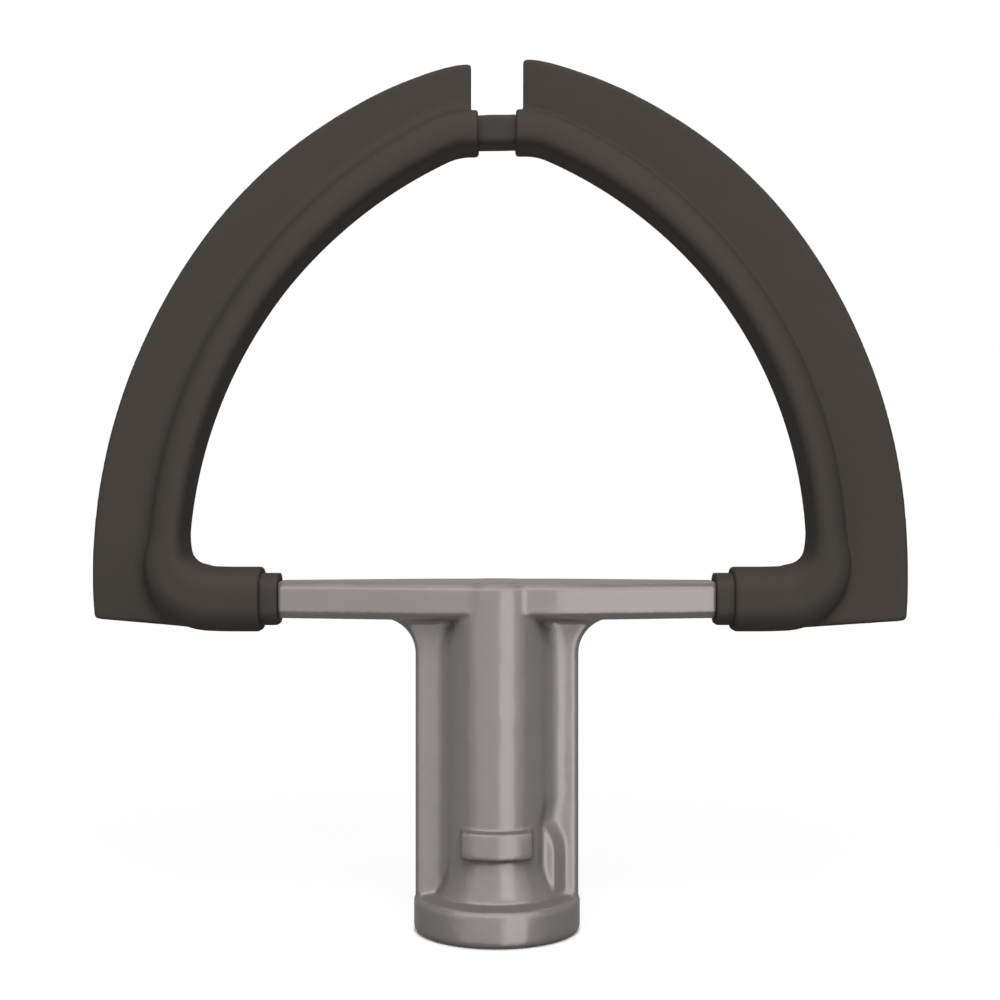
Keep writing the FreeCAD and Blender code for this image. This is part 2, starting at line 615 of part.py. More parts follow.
def sleeve():
    """Soft sleeve of the right arm, before the core is taken out of it."""
    mouth = [SLEEVE_MOUTH_ROUND * 0.3, SLEEVE_MOUTH_ROUND]
    places = stations_between(COLLAR_SHOWING, ARM_LENGTH - TIP_SHOWING)
    near_mouths = [places[0] + run for run in mouth] + [places[-1] - run for run in mouth]
    return Part.makeLoft([sleeve_section(place) for place in sorted(places + near_mouths)], True, True)


def whole_core():
    """Core of the whole arch, before the tenons are taken out of it."""
    right = arm_core()
    return right.fuse(turned(right)).removeSplitter()


def wiper_edge(core):
    """Soft sleeve with its blade, moulded over the right arm of the core."""
    return sleeve().fuse(blade()).cut(core).removeSplitter()


def main():
    """Build the four pieces and write them."""
    os.makedirs("parts", exist_ok=True)
    casting = hub_casting()
    core = whole_core()
    right_edge = wiper_edge(core)
    pieces = {"hub_casting": casting, "arch_core": core.cut(casting),
              "wiper_edge_right": right_edge, "wiper_edge_left": turned(right_edge)}
    for name, shape in pieces.items():
        solid = shape.Solids[0]
        solid.exportStep("parts/" + name + ".step")
        box = solid.BoundBox
        print(name, "solids", len(shape.Solids), "valid", solid.isValid(), "volume", round(solid.Volume, 1),
              "box", [round(value, 2) for value in (box.XMin, box.YMin, box.ZMin, box.XMax, box.YMax, box.ZMax)])


main()
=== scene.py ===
"""Stand mixer beater in a white studio.

A cast hub carries the moulded core of an arch, and a soft wiper edge is moulded over each arm of
the core. The casting and the core are softened copies of their solids. Each wiper edge is swept
along its arm by Geometry Nodes: a sleeve round the core and a leaning blade that thins outwards.
"""
from __future__ import annotations

import json
import logging
import math
from dataclasses import asdict, dataclass, field
from enum import Enum
from functools import cached_property
from typing import Sequence

import bpy
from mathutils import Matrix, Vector

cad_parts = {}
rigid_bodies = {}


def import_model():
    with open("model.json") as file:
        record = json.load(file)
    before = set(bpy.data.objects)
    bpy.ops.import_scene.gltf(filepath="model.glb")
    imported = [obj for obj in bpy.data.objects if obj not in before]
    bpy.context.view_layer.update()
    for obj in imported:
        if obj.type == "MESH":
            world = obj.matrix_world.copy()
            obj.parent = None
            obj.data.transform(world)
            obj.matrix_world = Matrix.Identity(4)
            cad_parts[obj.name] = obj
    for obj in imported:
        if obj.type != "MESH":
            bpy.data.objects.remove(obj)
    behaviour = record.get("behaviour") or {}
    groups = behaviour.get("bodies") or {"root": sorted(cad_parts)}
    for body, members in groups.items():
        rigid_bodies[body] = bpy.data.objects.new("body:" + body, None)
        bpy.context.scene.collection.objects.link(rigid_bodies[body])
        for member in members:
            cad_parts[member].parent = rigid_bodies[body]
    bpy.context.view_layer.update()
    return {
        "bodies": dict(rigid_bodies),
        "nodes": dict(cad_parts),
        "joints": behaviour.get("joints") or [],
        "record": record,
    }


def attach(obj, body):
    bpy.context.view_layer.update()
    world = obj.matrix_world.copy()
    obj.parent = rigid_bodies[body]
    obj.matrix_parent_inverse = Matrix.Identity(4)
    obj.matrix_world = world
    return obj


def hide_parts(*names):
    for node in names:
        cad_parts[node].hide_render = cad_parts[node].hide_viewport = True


LOG = logging.getLogger("beater")
MM = 0.001
Y_AXIS = Vector((0.0, 1.0, 0.0))
WHITE = (1.0, 1.0, 1.0, 1.0)
Socket = bpy.types.NodeSocket

# Gaps that are closed, in millimetres.
WELD_GAP = 0.002
SEAM_GAP = 0.001

# Share by which each smoothing pass moves a point.
SMOOTHING = 0.5

# Steps towards a rounded end, as shares of its radius.
END_STEPS = (1.0, 0.7, 0.4, 0.2, 0.08, 0.02)


class Side(Enum):
    """Arm of the arch: its name in the frame and its turn about the vertical axis."""

    RIGHT = ("right", 0.0)
    LEFT = ("left", math.pi)

    @property
    def node(self) -> str:
        """Name of the wiper edge's solid."""
        return "wiper_edge_" + self.value[0]

    @property
    def turn(self) -> float:
        """Turn about Z that brings the right arm's shape to this arm."""
        return self.value[1]


class Easing(Enum):
    """How a value goes from one range to another."""

    EVEN = "LINEAR"
    SMOOTH = "SMOOTHSTEP"


class NodeGraph:
    """Short way to add nodes to a tree and join them."""

    def __init__(self, tree: bpy.types.NodeTree) -> None:
        """Keep the shader or geometry tree that the nodes go into."""
        self.tree = tree

    def node(self, kind: str, **settings: object) -> bpy.types.Node:
        """Add a node.

        Args:
            kind: The node's type name.
            settings: Properties to set on it.

        Returns:
            The new node.
        """
        node = self.tree.nodes.new(kind)
        for name, value in settings.items():
            setattr(node, name, value)
        return node

    def feed(self, socket: Socket, value: object) -> None:
        """Join a socket to another one, or set it to a plain value.

        Args:
            socket: The input.
            value: An output socket, or the value.
        """
        if isinstance(value, Socket):
            self.tree.links.new(value, socket)
        else:
            socket.default_value = value

    def result(self, kind: str, operation: str, *values: object) -> Socket:
        """Result of a node that works on its inputs in order.

        Args:
            kind: The node's type name.
            operation: The node's operation.
            values: Its inputs, as sockets or plain values.

        Returns:
            The output socket.
        """
        node = self.node(kind, operation=operation)
        for socket, value in zip(node.inputs, values):
            self.feed(socket, value)
        return node.outputs[0]

    def math(self, operation: str, *values: object) -> Socket:
        """Result of a Math node."""
        return self.result("ShaderNodeMath", operation, *values)

    def vectors(self, operation: str, *values: object) -> Socket:
        """Result of a Vector Math node, where a number stands for all three parts of a vector."""
        return self.result("ShaderNodeVectorMath", operation, *values)

    def plus(self, first: object, second: object) -> Socket:
        """First plus second."""
        return self.math("ADD", first, second)

    def less(self, first: object, second: object) -> Socket:
        """First less second."""
        return self.math("SUBTRACT", first, second)

    def times(self, first: object, second: object) -> Socket:
        """First times second."""
        return self.math("MULTIPLY", first, second)

    def ranged(self, value: object, source: Sequence[object], target: Sequence[object],
               easing: Easing = Easing.SMOOTH) -> Socket:
        """Value carried from one range to another, held at its ends.

        Args:
            value: The value.
            source: Start and end of its own range.
            target: Start and end of the range that it goes to.
            easing: How it goes from start to end.

        Returns:
            The output socket.
        """
        node = self.node("ShaderNodeMapRange", interpolation_type=easing.value)
        for socket, given in zip(node.inputs, (value, *source, *target)):
            self.feed(socket, given)
        return node.outputs[0]


@dataclass(frozen=True)
class ArmLine:
    """Centre line of the right arm, from the crossbar's end to the arch's tip, in millimetres."""

    bar_level: float = 53.65
    bar_half_length: float = 35.35
    half_width: float = 53.7
    rise: float = 75.9
    widest_rise: float = 5.1
    corner_radius: float = 7.3
    tip_bend_radius: float = 12.0
    tip_run: float = 4.4
    bow_depth: float = 2.6
    bow_start: float = 2.5

    @cached_property
    def tip_level(self) -> float:
        """Level of the arch's tip."""
        return self.bar_level + self.rise

    @cached_property
    def main_radius(self) -> float:
        """Radius of the arc that touches the widest line and the bend at the tip.

        Returns:
            The radius.
        """
        up = self.rise - self.tip_bend_radius - self.widest_rise
        across = self.half_width - self.tip_run
        return (across ** 2 + up ** 2 - self.tip_bend_radius ** 2) / (2 * (across - self.tip_bend_radius))

    @cached_property
    def main_centre(self) -> Vector:
        """Centre of the main arc."""
        return Vector((self.half_width - self.main_radius, 0.0, self.bar_level + self.widest_rise))

    @cached_property
    def corner_centre(self) -> Vector:
        """Centre of the corner at the arm's foot.

        Returns:
            The centre.
        """
        level = self.bar_level + self.corner_radius
        drop = level - self.main_centre.z
        run = math.sqrt((self.main_radius - self.corner_radius) ** 2 - drop ** 2)
        return Vector((self.main_centre.x + run, 0.0, level))

    @cached_property
    def foot_angle(self) -> float:
        """Angle at which the corner runs into the main arc."""
        apart = self.corner_centre - self.main_centre
        return math.atan2(apart.z, apart.x)

    @cached_property
    def top_angle(self) -> float:
        """Angle at which the main arc runs into the bend at the tip."""
        up = self.rise - self.tip_bend_radius - self.widest_rise
        return math.atan2(up, self.tip_run - self.main_centre.x)

    @cached_property
    def foot_length(self) -> float:
        """Straight length at the foot."""
        return self.corner_centre.x - self.bar_half_length

    @cached_property
    def corner_end(self) -> float:
        """Length along the line to the end of the corner."""
        return self.foot_length + self.corner_radius * (math.pi / 2 + self.foot_angle)

    @cached_property
    def arc_end(self) -> float:
        """Length along the line to the end of the main arc."""
        return self.corner_end + self.main_radius * (self.top_angle - self.foot_angle)

    @cached_property
    def bend_end(self) -> float:
        """Length along the line to the end of the bend at the tip."""
        return self.arc_end + self.tip_bend_radius * (math.pi / 2 - self.top_angle)

    @cached_property
    def length(self) -> float:
        """Whole length of the line."""
        return self.bend_end + self.tip_run

    def bow(self, along: float) -> float:
        """How far the line stands forward of the crossbar.

        Args:
            along: Length along the line.

        Returns:
            The distance.
        """
        start = self.foot_length + self.bow_start
        share = min(max((along - start) / (self.length - start), 0.0), 1.0)
        return self.bow_depth * math.sin(math.pi * share)

    def on_arc(self, centre: Vector, radius: float, angle: float) -> tuple[Vector, Vector]:
        """Point of an arc at an angle from the X axis, and its outward direction."""
        outward = Vector((math.cos(angle), 0.0, math.sin(angle)))
        return centre + outward * radius, outward

    def place(self, along: float) -> tuple[Vector, Vector]:
        """Point of the bowed line, and the direction to the arch's outside.

        Args:
            along: Length along the line.

        Returns:
            The point and the direction.
        """
        if along <= self.foot_length:
            point = Vector((self.bar_half_length + along, 0.0, self.bar_level))
            outward = Vector((0.0, 0.0, -1.0))
        elif along <= self.corner_end:
            angle = (along - self.foot_length) / self.corner_radius - math.pi / 2
            point, outward = self.on_arc(self.corner_centre, self.corner_radius, angle)
        elif along <= self.arc_end:
            angle = self.foot_angle + (along - self.corner_end) / self.main_radius
            point, outward = self.on_arc(self.main_centre, self.main_radius, angle)
        elif along <= self.bend_end:
            centre = Vector((self.tip_run, 0.0, self.tip_level - self.tip_bend_radius))
            angle = self.top_angle + (along - self.arc_end) / self.tip_bend_radius
            point, outward = self.on_arc(centre, self.tip_bend_radius, angle)
        else:
            point = Vector((self.tip_run - (along - self.bend_end), 0.0, self.tip_level))
            outward = Vector((0.0, 0.0, 1.0))
        return point - Y_AXIS * self.bow(along), outward


@dataclass(frozen=True)
class Section:
    """Sizes of a rounded section along the arm, in millimetres."""

    name: str
    foot_height: float
    arm_height: float
    tip_height: float
    foot_depth: float
    arm_depth: float
    foot_round: float
    arm_round: float

    def inputs(self) -> dict[str, float]:
        """Named inputs of the tree for these sizes, in metres."""
        sizes = {name: size for name, size in asdict(self).items() if name != "name"}
        return {f"{self.name} {name.replace('_', ' ').title()}": size * MM for name, size in sizes.items()}


@dataclass(frozen=True)
class Blade:
    """Sizes of the thin blade, in millimetres.

    The side reaches are pairs of the angle about the main arc's centre, in degrees, and the distance
    past that arc.
    """

    foot_reach: float = 12.45
    foot_drop: float = 3.4
    heel_drop: float = 4.9
    side_reaches: tuple[tuple[float, float], ...] = (
        (3.0, 12.7), (24.0, 12.75), (44.0, 12.97), (60.0, 11.95), (65.8, 11.27), (69.3, 10.72))
    tip_reach: float = 11.75
    tip_gap: float = 4.24
    corner_round: float = 0.65
    root_thickness: float = 2.4
    edge_thickness: float = 1.4
    root_flare: float = 2.4
    lean_foot: float = 0.18
    lean_middle: float = 0.085
    lean_tip: float = 0.1
    reach_rounds: int = 6
    least_slope: float = 0.2
    least_fall: float = 0.02

    def lean(self, share: float) -> float:
        """Slope of the blade towards the front.

        Args:
            share: Place along the arm, from 0 at the foot to 1 at the tip.

        Returns:
            The slope.
        """
        from_middle = 2 * share - 1
        end = self.lean_foot if from_middle < 0 else self.lean_tip
        return self.lean_middle + (end - self.lean_middle) * from_middle ** 2

    def toe(self, line: ArmLine) -> Vector:
        """Outer corner of the blade at the arm's foot."""
        return Vector((line.half_width + self.foot_reach, 0.0, line.bar_level - self.foot_drop))

    def rim_points(self, line: ArmLine) -> list[tuple[float, float]]:
        """Driving points of the blade's outer edge.

        Args:
            line: The arm's centre line.

        Returns:
            Angle and distance of each point from the main arc's centre.
        """
        toe = self.toe(line) - line.main_centre
        tip = Vector((self.tip_gap, 0.0, line.tip_level + self.tip_reach)) - line.main_centre
        points = [(math.atan2(toe.z, toe.x), toe.length)]
        points += [(math.radians(angle), line.main_radius + reach) for angle, reach in self.side_reaches]
        points.append((math.atan2(tip.z, tip.x), tip.length))
        return points

    def rim_distance(self, points: Sequence[tuple[float, float]], angle: float) -> float:
        """Distance of the outer edge from the main arc's centre, eased through the driving points.

        Args:
            points: The driving points.
            angle: Angle about the centre.

        Returns:
            The distance.
        """
        slopes = []
        for index in range(len(points)):
            before = points[max(index - 1, 0)]
            after = points[min(index + 1, len(points) - 1)]
            slopes.append((after[1] - before[1]) / (after[0] - before[0]))
        index = 0
        while index < len(points) - 2 and angle > points[index + 1][0]:
            index += 1
        (start, low), (end, high) = points[index], points[index + 1]
        span = end - start
        share = (angle - start) / span
        square, cube = share ** 2, share ** 3
        return (low * (2 * cube - 3 * square + 1) + high * (3 * square - 2 * cube)
                + span * (slopes[index] * (cube - 2 * square + share) + slopes[index + 1] * (cube - square)))

    def reach(self, line: ArmLine, along: float) -> float:
        """Distance from the centre line to the blade's outline.

        Args:
            line: The arm's centre line.
            along: Length along the line.

        Returns:
            The distance, or 0 where there is no blade.
        """
        end = line.length - self.tip_gap
        if not line.foot_length <= along <= end:
            return 0.0
        point, outward = line.place(along)
        point = Vector((point.x, 0.0, point.z))
        points = self.rim_points(line)
        reach = self.side_reaches[0][1]
        for _ in range(self.reach_rounds):
            out = point + outward * reach - line.main_centre
            miss = self.rim_distance(points, math.atan2(out.z, out.x)) - out.length
            reach += miss / max(outward.dot(out.normalized()), self.least_slope)
        heel = Vector((line.corner_centre.x, 0.0, line.bar_level - self.heel_drop))
        toe = self.toe(line)
        across = Vector((heel.z - toe.z, 0.0, toe.x - heel.x)).normalized()
        falling = -outward.dot(across)
        if falling > self.least_fall:
            to_foot = (point - heel).dot(across) / falling
            blend = self.corner_round / 2
            nearer, further = min(reach, to_foot), max(reach, to_foot)
            reach = nearer - blend * math.log1p(math.exp((nearer - further) / blend))
        from_end = min(end - along, self.corner_round)
        left = self.corner_round - from_end
        return reach - (self.corner_round - math.sqrt(self.corner_round ** 2 - left ** 2))


@dataclass(frozen=True)
class CoatedCasting:
    """Metallic grey coating on cast aluminium: fine grain, slow waves left by the mould."""

    colour: tuple[float, float, float] = (0.178, 0.165, 0.162)
    shade: float = 0.03
    metallic: float = 0.2
    roughness: float = 0.22
    grain_scale: float = 2600.0
    grain_depth: float = 0.000003
    wave_scale: float = 150.0
    wave_depth: float = 0.0002

    def material(self) -> bpy.types.Material:
        """Build the finish."""
        return procedural("coated_casting", self.colour, self.shade, self.roughness, self.metallic,
                          [(self.wave_scale, self.wave_depth), (self.grain_scale, self.grain_depth)])


@dataclass(frozen=True)
class MouldedFinish:
    """Matte moulded surface of the soft wiper edges or of the core."""

    name: str
    colour: tuple[float, float, float]
    roughness: float
    metallic: float
    shade: float = 0.04
    grain_scale: float = 3600.0
    grain_depth: float = 0.000006
    ripple_scale: float = 260.0
    ripple_depth: float = 0.00004

    def material(self) -> bpy.types.Material:
        """Build the finish."""
        return procedural(self.name, self.colour, self.shade, self.roughness, self.metallic,
                          [(self.ripple_scale, self.ripple_depth), (self.grain_scale, self.grain_depth)])


SILICONE = MouldedFinish("soft_silicone", colour=(0.0500, 0.0441, 0.0396), roughness=0.5, metallic=0.04)
HARD_CORE = MouldedFinish("hard_core", colour=(0.0500, 0.0446, 0.0405), roughness=0.45, metallic=0.05)


@dataclass(frozen=True)
class Noise:
    """Noise over a material, with its scale in cycles a metre and its detail in octaves."""

    scale: float
    detail: float

    def value(self, graph: NodeGraph, place: Socket) -> Socket:
        """Add the noise to a material.

        Args:
            graph: The material's nodes.
            place: Where the noise is read.

        Returns:
            Its value, from 0 to 1.
        """
        node = graph.node("ShaderNodeTexNoise")
        graph.feed(node.inputs["Vector"], place)
        node.inputs["Scale"].default_value = self.scale
        node.inputs["Detail"].default_value = self.detail
        return node.outputs["Fac"]


MOTTLE = Noise(90.0, 5.0)
SPECKLE = Noise(700.0, 3.0)
SPECKLE_RANGE = (0.3, 0.7)
ROUGHNESS_RANGE = (0.88, 1.12)
RELIEF_DETAIL = 2.0


def procedural(name: str, colour: tuple[float, float, float], shade: float, roughness: float,
               metallic: float, reliefs: Sequence[tuple[float, float]]) -> bpy.types.Material:
    """Material with mottled colour, uneven roughness and layers of fine relief.

    Args:
        name: Name of the material.
        colour: Its colour.
        shade: Share by which the colour varies to each side.
        roughness: Middle roughness.
        metallic: Its metallic share.
        reliefs: Noise scale, in cycles a metre, and depth, in metres, of each layer.

    Returns:
        The material.
    """
    material = bpy.data.materials.new(name)
    material.use_nodes = True
    graph = NodeGraph(material.node_tree)
    shader = material.node_tree.nodes["Principled BSDF"]
    shader.inputs["Metallic"].default_value = metallic
    shader.inputs["Specular IOR Level"].default_value = 0.0
    place = graph.node("ShaderNodeTexCoord").outputs["Object"]

    tint = graph.node("ShaderNodeMix", data_type="RGBA")
    graph.feed(tint.inputs["Factor"], MOTTLE.value(graph, place))
    for side, share in (("A", 1 - shade), ("B", 1 + shade)):
        tint.inputs[side].default_value = (*(part * share for part in colour), 1.0)
    graph.feed(shader.inputs["Base Color"], tint.outputs["Result"])

    spread = [roughness * share for share in ROUGHNESS_RANGE]
    uneven = graph.ranged(SPECKLE.value(graph, place), SPECKLE_RANGE, spread, Easing.EVEN)
    graph.feed(shader.inputs["Roughness"], uneven)

    normal = None
    for scale, depth in reliefs:
        bump = graph.node("ShaderNodeBump")
        bump.inputs["Strength"].default_value = 1.0
        bump.inputs["Distance"].default_value = depth
        graph.feed(bump.inputs["Height"], Noise(scale, RELIEF_DETAIL).value(graph, place))
        if normal is not None:
            graph.feed(bump.inputs["Normal"], normal)
        normal = bump.outputs["Normal"]
    graph.feed(shader.inputs["Normal"], normal)
    return material


def linked(name: str, data: bpy.types.ID) -> bpy.types.Object:
    """New object, linked to the scene.

    Args:
        name: Its name.
        data: Its mesh, lamp or camera.

    Returns:
        The object.
    """
    thing = bpy.data.objects.new(name, data)
    bpy.context.scene.collection.objects.link(thing)
    return thing


def finished_mesh(holder: bpy.types.Object, name: str, material: bpy.types.Material) -> bpy.types.Object:
    """Plain piece from an object's modifiers.

    Args:
        holder: Object with the modifiers, which is removed.
        name: Name of the piece.
        material: Its finish.

    Returns:
        The piece, with no modifiers.
    """
    graph = bpy.context.evaluated_depsgraph_get()
    mesh = bpy.data.meshes.new_from_object(holder.evaluated_get(graph), depsgraph=graph)
    old = holder.data
    bpy.data.objects.remove(holder)
    bpy.data.meshes.remove(old)
    mesh.materials.clear()
    mesh.materials.append(material)
    mesh.shade_smooth()
    LOG.info("%s: %d vertices, %d faces", name, len(mesh.vertices), len(mesh.polygons))
    return linked(name, mesh)


def soften(holder: bpy.types.Object, voxel: float, passes: int) -> None:
    """Give an object even facets and softly rounded edges.

    Args:
        holder: The object.
        voxel: Size of the facets, in metres.
        passes: Smoothing passes.
    """
    remesh = holder.modifiers.new("even_facets", "REMESH")
    remesh.mode = "VOXEL"
    remesh.voxel_size = voxel
    remesh.use_smooth_shade = True
    smooth = holder.modifiers.new("soft_edges", "SMOOTH")
    smooth.factor = SMOOTHING
    smooth.iterations = passes


@dataclass
class SoftenedSolid:
    """Casting or moulding made from its solid, with its edges rounded as they leave the mould."""

    node: str
    piece: str
    slot: str
    voxel: float = 0.334
    passes: int = 2

    def build(self, frame: dict, material: bpy.types.Material) -> None:
        """Make the piece and put it in the solid's place.

        Args:
            frame: The loaded frame.
            material: The finish.
        """
        mesh = frame["nodes"][self.node].data.copy()
        holder = linked(self.piece + "_solid", mesh)
        weld = holder.modifiers.new("joined_facets", "WELD")
        weld.merge_threshold = WELD_GAP * MM
        soften(holder, self.voxel * MM, self.passes)
        piece = finished_mesh(holder, self.piece, material)
        self.settle(piece.data)
        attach(piece, "root")
        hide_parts(self.node)

    def settle(self, mesh: bpy.types.Mesh) -> None:
        """Leave the mesh as it is."""


def eased(value: float, start: float, end: float) -> float:
    """Share from 0 at the start to 1 at the end, with a smooth run."""
    share = min(max((value - start) / (end - start), 0.0), 1.0)
    return share ** 2 * (3 - 2 * share)


@dataclass
class CastHub(SoftenedSolid):
    """Cast hub, with wider fillets beside its fins, a lower band and a collar that falls off to its rim.

    Sizes are in millimetres. Each pair is where a move starts and where it is whole, and each fade is
    where it starts to end and where it is gone. The fillets' feet differ with the side of the hub.
    """

    fin_half_depth: float = 2.55
    fillet_shift: float = 0.6
    fillet_rise: tuple[float, float] = (5.0, 8.0)
    fillet_fade: tuple[float, float] = (10.2, 12.8)
    fillet_foot: dict[float, tuple[float, float]] = field(
        default_factory=lambda: {-1.0: (7.0, 12.0), 1.0: (18.0, 23.0)})
    fillet_top_fade: tuple[float, float] = (46.0, 50.0)
    band_drop: float = 0.55
    band_side_fade: tuple[float, float] = (6.6, 8.0)
    band_rise: tuple[float, float] = (8.5, 12.8)
    band_fade: tuple[float, float] = (19.6, 24.0)
    rim_fall: float = 0.35
    rim_reach: tuple[float, float] = (10.5, 13.3)
    rim_rise: tuple[float, float] = (3.0, 5.6)
    rim_fade: tuple[float, float] = (6.4, 9.0)

    def settle(self, mesh: bpy.types.Mesh) -> None:
        """Widen the fillets, lower the band and let the collar fall off.

        Args:
            mesh: The finished mesh.
        """
        for vertex in mesh.vertices:
            x, y, z = vertex.co / MM
            side = math.copysign(1.0, x)
            fall = eased(math.hypot(x, y), *self.rim_reach) * eased(z, *self.rim_rise)
            fall *= 1 - eased(z, *self.rim_fade)
            drop = eased(z, *self.band_rise) * (1 - eased(z, *self.band_fade))
            drop *= (1 - eased(abs(x), *self.band_side_fade)) * (y < 0)
            if abs(y) > self.fin_half_depth:
                wide = eased(abs(x), *self.fillet_rise) * (1 - eased(abs(x), *self.fillet_fade))
                wide *= eased(z, *self.fillet_foot[side]) * (1 - eased(z, *self.fillet_top_fade))
                x += side * self.fillet_shift * wide
            vertex.co = Vector((x, y, z - self.rim_fall * fall - self.band_drop * drop)) * MM


@dataclass
class WiperEdge:
    """Soft wiper edge of one arm: a sleeve round the core, and a blade along the sleeve's outside.

    Sizes are in millimetres. The station counts are for the foot, the corner, the main arc, the bend
    at the tip and the tip.
    """

    side: Side
    line: ArmLine = field(default_factory=ArmLine)
    blade: Blade = field(default_factory=Blade)
    sleeve: Section = Section("Sleeve", foot_height=10.4, arm_height=5.3, tip_height=6.2,
                              foot_depth=11.2, arm_depth=11.2, foot_round=4.2, arm_round=1.7)
    hollow: Section = Section("Hollow", foot_height=7.3, arm_height=3.8, tip_height=4.8,
                              foot_depth=7.7, arm_depth=6.8, foot_round=1.6, arm_round=0.6)
    collar_showing: float = 2.8
    tip_showing: float = 3.0
    taper_into_corner: float = 2.0
    taper_after_corner: float = 4.0
    taper_before_tip: float = 42.0
    corner_shift: float = 0.25
    outer_depth_round: float = 3.5
    tip_swell: float = 0.22
    tip_swell_length: float = 5.0
    root_sunk: float = 0.5
    mouth_round: float = 0.5
    station_counts: tuple[int, ...] = (14, 72, 150, 20, 10)
    cut_clearance: float = 0.05
    spokes: int = 72
    blade_rows: int = 96
    voxel: float = 0.33
    passes: int = 2

    def stations(self) -> list[float]:
        """Places along the arm for sections, with a double one where the blade is cut off.

        Returns:
            The places, in order.
        """
        line = self.line
        start, end = self.collar_showing, line.length - self.tip_showing
        stops = [start, line.foot_length, line.corner_end, line.arc_end, line.bend_end, end]
        places = []
        for low, high, count in zip(stops, stops[1:], self.station_counts):
            places += [low + (high - low) * index / count for index in range(count)]
        cut = line.length - self.blade.tip_gap
        places = [place for place in places if abs(place - cut) > self.cut_clearance]
        for share in END_STEPS:
            places += [cut - self.blade.corner_round * share,
                       start + self.mouth_round * share, end - self.mouth_round * share]
        return sorted(places + [cut, cut, end])

    def guide(self) -> bpy.types.Object:
        """Chain of points along the arm that carries what the sweep needs at each of them.

        Returns:
            The chain's object.
        """
        places = self.stations()
        pairs = [self.line.place(along) for along in places]
        reaches = [self.blade.reach(self.line, along) for along in places]
        cut = self.line.length - self.blade.tip_gap
        reaches[places.index(cut) + 1] = 0.0
        mesh = bpy.data.meshes.new(self.side.node + "_guide")
        edges = [(index, index + 1) for index in range(len(places) - 1)]
        mesh.from_pydata([point * MM for point, _ in pairs], edges, [])
        carried = {"along": [along * MM for along in places],
                   "reach": [reach * MM for reach in reaches],
                   "lean": [self.blade.lean(along / self.line.length) for along in places]}
        for name, values in carried.items():
            mesh.attributes.new(name, "FLOAT", "POINT").data.foreach_set("value", values)
        outward = mesh.attributes.new("outward", "FLOAT_VECTOR", "POINT")
        outward.data.foreach_set("vector", [part for _, away in pairs for part in away])
        return linked(self.side.node + "_guide", mesh)

    def sizes(self) -> dict[str, float]:
        """Named inputs of the sweep.

        Returns:
            The inputs' values, in metres.
        """
        line, blade = self.line, self.blade
        plain = {"Corner Start": line.foot_length + self.taper_into_corner,
                 "Corner Middle": (line.foot_length + line.corner_end) / 2,
                 "Corner End": line.corner_end + self.taper_after_corner,
                 "Corner Shift": self.corner_shift,
                 "Outer Depth Round": self.outer_depth_round,
                 "Tip Start": line.length - self.tip_showing - self.taper_before_tip,
                 "Tip End": line.length - self.tip_showing,
                 "Tip Swell": self.tip_swell,
                 "Tip Swell Start": line.length - self.tip_showing - self.tip_swell_length,
                 "Mouth Start": self.collar_showing,
                 "Mouth Round": self.mouth_round,
                 "Blade Root Thickness": blade.root_thickness,
                 "Blade Edge Thickness": blade.edge_thickness,
                 "Blade Full Reach": max(reach for _, reach in blade.side_reaches),
                 "Blade Root Sunk": self.root_sunk,
                 "Blade Root Flare": blade.root_flare}
        sizes = {name: size * MM for name, size in plain.items()}
        return {**sizes, **self.sleeve.inputs(), **self.hollow.inputs()}

    def tree(self, material: bpy.types.Material, rings: int) -> bpy.types.NodeTree:
        """Geometry Nodes tree that sweeps the sleeve and the blade along the guide.

        Args:
            material: The finish.
            rings: How many points the guide has.

        Returns:
            The tree.
        """
        tree = bpy.data.node_groups.new(self.side.node + "_sweep", "GeometryNodeTree")
        tree.interface.new_socket("Geometry", in_out="INPUT", socket_type="NodeSocketGeometry")
        for name, size in self.sizes().items():
            socket = tree.interface.new_socket(name, in_out="INPUT", socket_type="NodeSocketFloat")
            socket.default_value = size
        tree.interface.new_socket("Turn", in_out="INPUT", socket_type="NodeSocketFloat")
        tree.interface.new_socket("Geometry", in_out="OUTPUT", socket_type="NodeSocketGeometry")
        sweep = Sweep(tree, rings)
        sleeve = sweep.sleeve(self.spokes)
        blade = sweep.blade(self.blade_rows)
        sweep.finish([sleeve, blade], material)
        return tree

    def build(self, material: bpy.types.Material) -> None:
        """Make the wiper edge and put it in its solid's place.

        Args:
            material: The finish.
        """
        holder = self.guide()
        modifier = holder.modifiers.new("sweep", "NODES")
        modifier.node_group = self.tree(material, len(holder.data.vertices))
        wanted = {**self.sizes(), "Turn": self.side.turn}
        for socket in modifier.node_group.interface.items_tree:
            if socket.in_out == "INPUT" and socket.name in wanted:
                modifier[socket.identifier] = wanted[socket.name]
        soften(holder, self.voxel * MM, self.passes)
        piece = finished_mesh(holder, "soft_" + self.side.node, material)
        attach(piece, "root")
        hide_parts(self.side.node)


